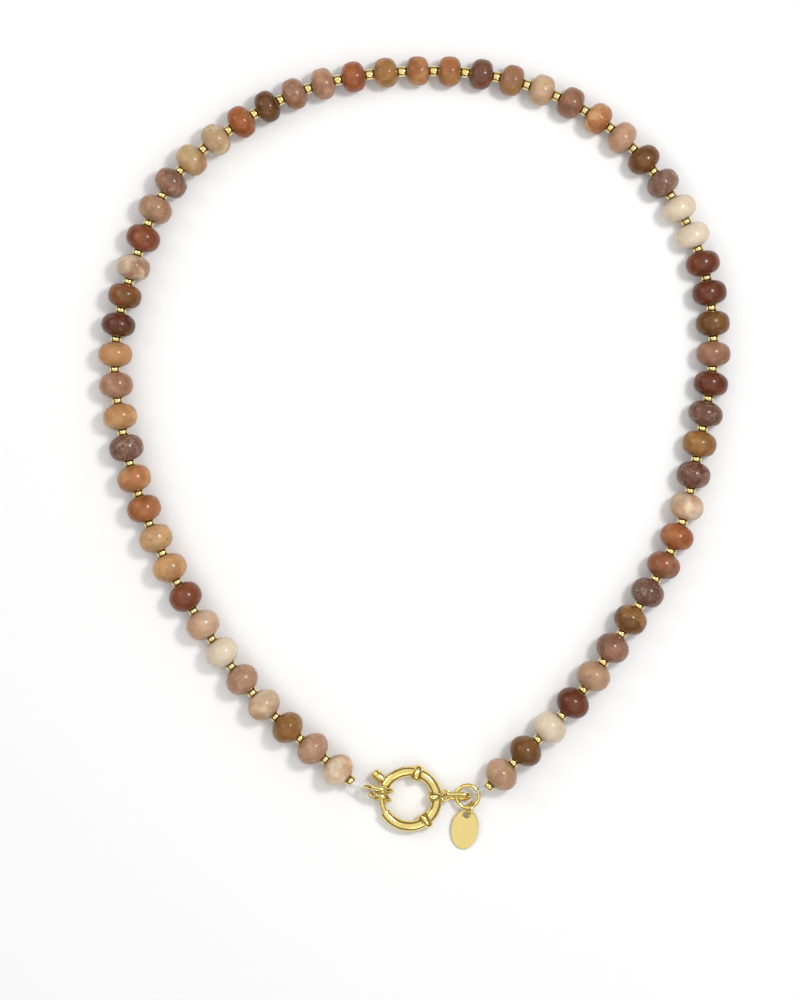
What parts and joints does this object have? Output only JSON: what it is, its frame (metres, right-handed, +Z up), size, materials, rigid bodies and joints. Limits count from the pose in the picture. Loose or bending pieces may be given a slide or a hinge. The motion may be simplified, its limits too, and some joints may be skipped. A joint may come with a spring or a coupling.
{
  "type": "beaded necklace",
  "caption": "Closed necklace of polished rondelle stones with small gold spacers, a round spring clasp with jump rings, a link and a plain oval tag, lying flat.",
  "frame": {"origin": "middle of the underside of the necklace as it lies", "axes": "+Z up from the surface it lies on, +Y from the clasp towards the far end of the loop, +X to the right seen from above with the clasp nearest"},
  "size_m": [0.1266, 0.159, 0.0069],
  "materials": {
    "stone": "polished, slightly translucent, each stone its own tone from cream to dark brick",
    "gold": "polished yellow gold plating",
    "satin_gold": "finely brushed pale gold plating",
    "thread": "clear beading thread"
  },
  "bodies": {
    "root": {"string_left": "stone", "string_right": "stone", "clasp_body": "gold", "end_ring_1": "gold", "end_ring_2": "gold", "clasp_link": "gold", "joining_ring": "gold", "tag_ring": "gold", "tag": "satin_gold"},
    "lever": {"clasp_lever": "gold"}
  },
  "joints": [
    {"name": "clasp_trigger", "type": "hinge", "parent": "root", "child": "lever", "pos_m": [-0.001, -0.06922, 0.00197], "axis": [0, 0, -1], "range_deg": [0, 45], "stiffness_Nm_per_rad": 0.01}
  ]
}
